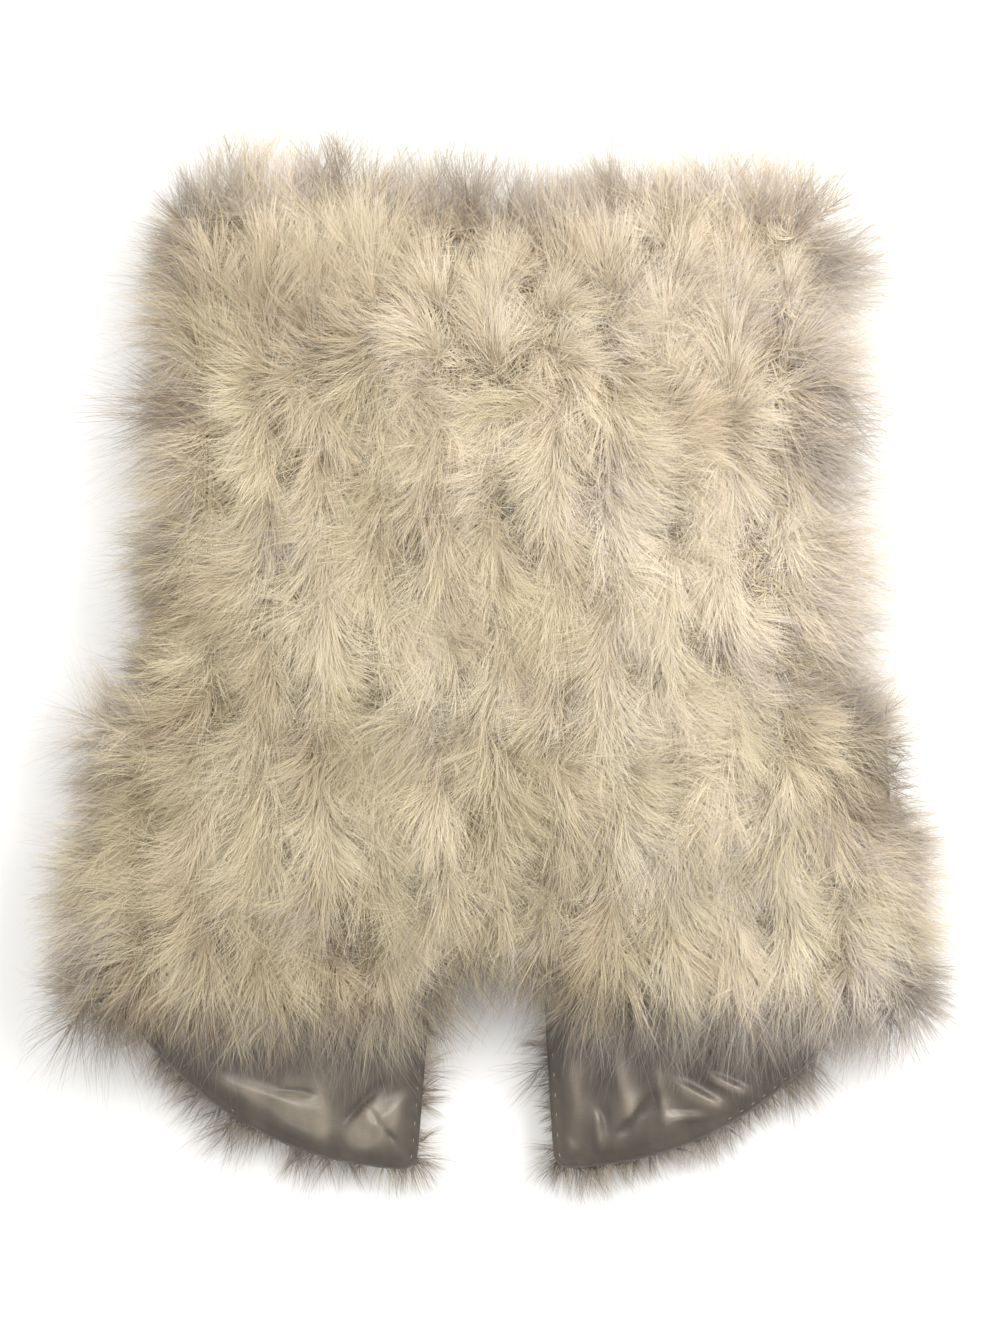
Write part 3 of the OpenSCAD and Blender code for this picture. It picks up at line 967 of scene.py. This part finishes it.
# How far each front's lining puffs up where it shows, and its folds: the arguments of ridge. Apart from the
# places, both are in millimetres.
FLAP_PUFF = {"left": 1.5, "right": 0.3}
FLAP_FOLDS = {
    "left": [
        ((-0.111, -0.286), -90, 56, 24, 4.0, 0.2, 1.4),
        ((-0.150, -0.264), -16, 72, 8, 4.0, 0.5, 1.4),
        ((-0.126, -0.263), -4, 22, 2, -3.0),
        ((-0.083, -0.288), 62, 36, 11, 5.0, 0.8),
        ((-0.084, -0.270), 47, 34, 3, -4.0),
        ((-0.071, -0.286), -53, 28, 2, -3.0, 1.0, 1.4),
        ((-0.066, -0.275), 42, 34, 8, 4.5, 0.5, 1.4)],
    "right": [
        ((0.048, -0.272), 90, 66, 8, 3.0, 0.8),
        ((0.043, -0.294), -37, 24, 9, 3.5, 0.25, 1.4),
        ((0.069, -0.266), 88, 56, 4, -3.0),
        ((0.066, -0.290), 94, 24, 4, 4.5, 0.6),
        ((0.082, -0.262), 104, 44, 7, 4.0, 0.6),
        ((0.090, -0.278), 47, 36, 5, -4.0, 0.5),
        ((0.106, -0.268), 100, 36, 6, 4.0, 0.5, 1.4),
        ((0.121, -0.279), 4, 28, 3, 4.0, 0.6),
        ((0.130, -0.266), -28, 36, 6, 5.5, 0.5, 1.4),
        ((0.150, -0.260), -24, 30, 4, 5.0, 0.7)],
}


def flap_folds(xy, side):
    """The folds that show where a front's lining comes out below the back's hem."""
    puff = FLAP_PUFF[side] * MM * smoothstep(-0.225, -0.245, xy[:, 1])
    return sum((ridge(xy, *fold) for fold in FLAP_FOLDS[side]), puff)


def no_folds(xy):
    return np.zeros(len(xy))


LINING_T = 0.5 * MM
STITCH_PITCH = 12 * MM
STITCH_INSET = 3.5 * MM


def lining(node, body, cloth, look, folds, spacing, rests_on, faces_up):
    """Satin that lies loose over the base cloth. It rolls over the edge and is puckered by its stitches.
    Also gives the height of its upper face at any points."""
    low, high = heights(node)
    facing = 1 if faces_up else -1
    face = high if faces_up else low

    def upper(xy):
        depth = cloth.depth(xy)
        slack = smoothstep(3 * MM, 20 * MM, depth)
        waves = 0.9 * MM * soft_noise(xy, 34 * MM, node) + 0.45 * MM * soft_noise(xy, 14 * MM, node + "fine")
        loose = np.maximum(folds(xy) + waves + 1.2 * MM, 0) * slack
        dimple = 0.5 + 0.5 * np.cos(2 * math.pi * (xy[:, 0] + xy[:, 1]) / STITCH_PITCH)
        quilted = 0.5 * MM * dimple * np.exp(-((depth - STITCH_INSET) / (2.5 * MM)) ** 2)
        rolled = 1.8 * MM * (1 - smoothstep(0, 3 * MM, depth)) ** 2
        height = face + facing * (loose - quilted - rolled)
        return height if faces_up else height + LINING_T

    def lower(xy):
        return upper(xy) - LINING_T

    piece = spread_sheet(node + "_satin", cloth, upper, lower, look, spacing)
    return declared_sheet(stands_for(piece, [node], body), cloth, rests_on), upper


def edge_tape(node, body, cloth, look):
    """A woven tape inside the edge, between the base cloth and the lining."""
    low, high = heights(node)
    inset, width, gap = 3.5 * MM, 6 * MM, 0.15 * MM
    loop = resampled(cloth.loop, 8 * MM)
    out = cloth.outward(loop)
    top = np.full(len(loop), high - gap)
    rings = [np.column_stack([loop - out * (inset + width * t), top]) for t in np.linspace(0, 1, 4)]
    rings += [ring - [0, 0, high - low - 2 * gap] for ring in rings[::-1]]
    points, faces = tube_of(rings, closed=True)
    return stands_for(mesh_object(node + "_woven", points, faces, look), [node], body)


def tube_of(rings, closed):
    """Quads between rings of as many points each. A closed tube joins its last ring to its first."""
    count, around = len(rings), len(rings[0])
    ahead = np.arange(around)
    after = np.roll(ahead, -1)
    faces = []
    for i in range(count if closed else count - 1):
        here, there = i * around, (i + 1) % count * around
        faces += [(here + a, there + a, there + b, here + b) for a, b in zip(ahead, after)]
    return np.concatenate(rings), faces


def capped(rings):
    """A tube with both ends closed."""
    points, faces = tube_of(rings, closed=False)
    around, last = len(rings[0]), len(points) - len(rings[0])
    faces.append(tuple(range(around)))
    faces.append(tuple(range(last + around - 1, last - 1, -1)))
    return points, faces


def bunched(bits):
    """Several meshes' points and faces as one."""
    points, faces, start = [], [], 0
    for some, their in bits:
        points.append(some)
        faces += [tuple(i + start for i in face) for face in their]
        start += len(some)
    return np.concatenate(points), faces


def seam_line(node):
    """The upper and the lower end of the line a seam stands on."""
    low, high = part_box(node)
    points = node_triangles(node).reshape(-1, 3)[:, :2]
    upper = points[points[:, 1] > high[1] - 2 * MM]
    lower = points[points[:, 1] < low[1] + 2 * MM]
    return upper.mean(axis=0), lower.mean(axis=0)


def seam(node, look):
    """A seam on edge between front and back: two turned edges sewn together, puckered by the thread."""
    low, high = heights(node)
    start, end = seam_line(node)
    length = np.linalg.norm(end - start)
    way = (end - start) / length
    out = np.array([-way[1], way[0]])
    out *= np.sign(out @ (start + end))
    thickness, fullness, levels = 0.9 * MM, 0.7 * MM, 12
    heights_up = np.linspace(low + 0.2 * MM, high - 0.2 * MM, levels)
    arch = np.sin(math.pi * np.linspace(0, 1, levels))
    groove = fullness * np.exp(-((arch - 1) / 0.03) ** 2)
    rings = []
    for along in np.arange(0, length + 1 * MM, 4 * MM):
        spot = start + way * min(along, length)
        pucker = 0.35 * MM * math.sin(2 * math.pi * along / (9 * MM))
        bulge = (fullness + pucker) * arch ** 0.7 - groove
        outer = [[*(spot + out * (thickness + b)), z] for b, z in zip(bulge, heights_up)]
        inner = [[*(spot + out * b), z] for b, z in zip(bulge[::-1], heights_up[::-1])]
        rings.append(np.array(outer + inner))
    points, faces = capped(rings)
    return stands_for(mesh_object(node + "_cloth", points, faces, look), [node], "back")


def cords(node, body, rows, look):
    """The cords the plumes are bound into: three plies twisted round each other."""
    low, high = heights(node)
    radius = (high - low) / 2
    plies, twist, step = 3, 14 * MM, 2.6 * MM
    around = np.linspace(0, 2 * math.pi, 12, endpoint=False)
    bits = []
    for row in rows:
        ends = row.cord_ends()
        length = np.linalg.norm(ends[1] - ends[0])
        way = (ends[1] - ends[0]) / length
        side = np.array([-way[1], way[0]])
        rings = []
        for along in np.arange(0, length, step):
            turn = 2 * math.pi * along / twist
            reach = radius * (0.80 + 0.16 * np.cos(plies * (around - turn)))
            spot = ends[0] + way * along
            across = np.outer(reach * np.cos(around), side) + spot
            rings.append(np.column_stack([across, low + radius + reach * np.sin(around)]))
        bits.append(capped(rings))
    points, faces = bunched(bits)
    return stands_for(mesh_object(node + "_twisted", points, faces, look), [node], body)


def stitches(name, body, cloth, surface, look):
    """Pick stitches along a lining's steep edges: short raised threads, about one every STITCH_PITCH."""
    loop = resampled(cloth.loop, 0.5 * MM)
    out = cloth.outward(loop)
    spots = loop - out * STITCH_INSET
    phase = (spots[:, 0] + spots[:, 1]) / STITCH_PITCH
    starts = np.flatnonzero(np.floor(phase) != np.floor(np.roll(phase, 1)))
    half_length, thickness = 1.3 * MM, 0.32 * MM
    angle = np.linspace(0, 2 * math.pi, 8, endpoint=False)
    bits = []
    for i in starts:
        way = np.array([-out[i, 1], out[i, 0]])
        if abs(way[1]) < 0.5:
            continue
        side = np.array([-way[1], way[0]])
        rings = []
        for t in np.linspace(-1, 1, 7):
            spot = spots[i] + way * t * half_length
            radius = thickness * math.sqrt(max(1 - t * t, 0.04))
            across = np.outer(radius * np.cos(angle), side) + spot
            height = surface(spot[None])[0] + 0.1 * MM * (1 - t * t)
            rings.append(np.column_stack([across, height + radius * np.sin(angle)]))
        bits.append(capped(rings))
    points, faces = bunched(bits)
    piece = mesh_object(name, points, faces, look)
    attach(piece, body)
    return piece


# -------- run


look_straight_down()
light_room()
lay_table()

down = down_look()
lining_z = heights("front_left_lining")[1]
satin = satin_look(lining_z + 0.5 * MM, lining_z + 5.5 * MM)
base = weave_look("base_cloth", (0.28, 0.235, 0.175), (0.46, 0.395, 0.30), 2.2 * MM)
tape = weave_look("stay_tape", (0.62, 0.58, 0.50), (0.80, 0.77, 0.69), 1.57 * MM)
twine = cord_look("boa_cord", (0.55, 0.47, 0.34), (0.78, 0.71, 0.57))
thread = cord_look("lining_thread", (0.22, 0.18, 0.14), (0.36, 0.30, 0.24))
wire = wire_look()

cloths = {body: Cloth(body + "_shell") for body in ROW_COUNTS}
rows = {body: [f"{body}_feather_row_{k + 1}" for k in range(count)] for body, count in ROW_COUNTS.items()}
fronts = [cloths["front_left"], cloths["front_right"]]
for body, cloth in cloths.items():
    cords(body + "_row_cords", body, [Row(node, body) for node in rows[body]], twine)
    edge_tape(body + "_edge_tape", body, cloth, tape)
base_cloth("back_shell", "back", cloths["back"], base, ["back_edge_tape_woven"])
lining("back_lining", "back", cloths["back"], satin, no_folds, 7 * MM, ["back_edge_tape_woven"], False)
for node in rows["back"]:
    back_row(node, cloths["back"], fronts, down)
for side in SIDES:
    body = "front_" + side
    cloth = cloths[body]
    base_cloth(body + "_shell", body, cloth, base, rows[body])
    folds = partial(flap_folds, side=side)
    piece, surface = lining(body + "_lining", body, cloth, satin, folds, 2.2 * MM, [body + "_shell"], True)
    stitches(body + "_lining_stitches", body, cloth, surface, thread)
    for node in rows[body]:
        front_row(node, body, cloth, down)
    seam("side_seam_" + side, base)
    seam("shoulder_seam_" + side, base)
for node in ("front_left_hooks", "front_right_eyes"):
    made = frame["nodes"][node]
    made.data.materials.clear()
    made.data.materials.append(wire)
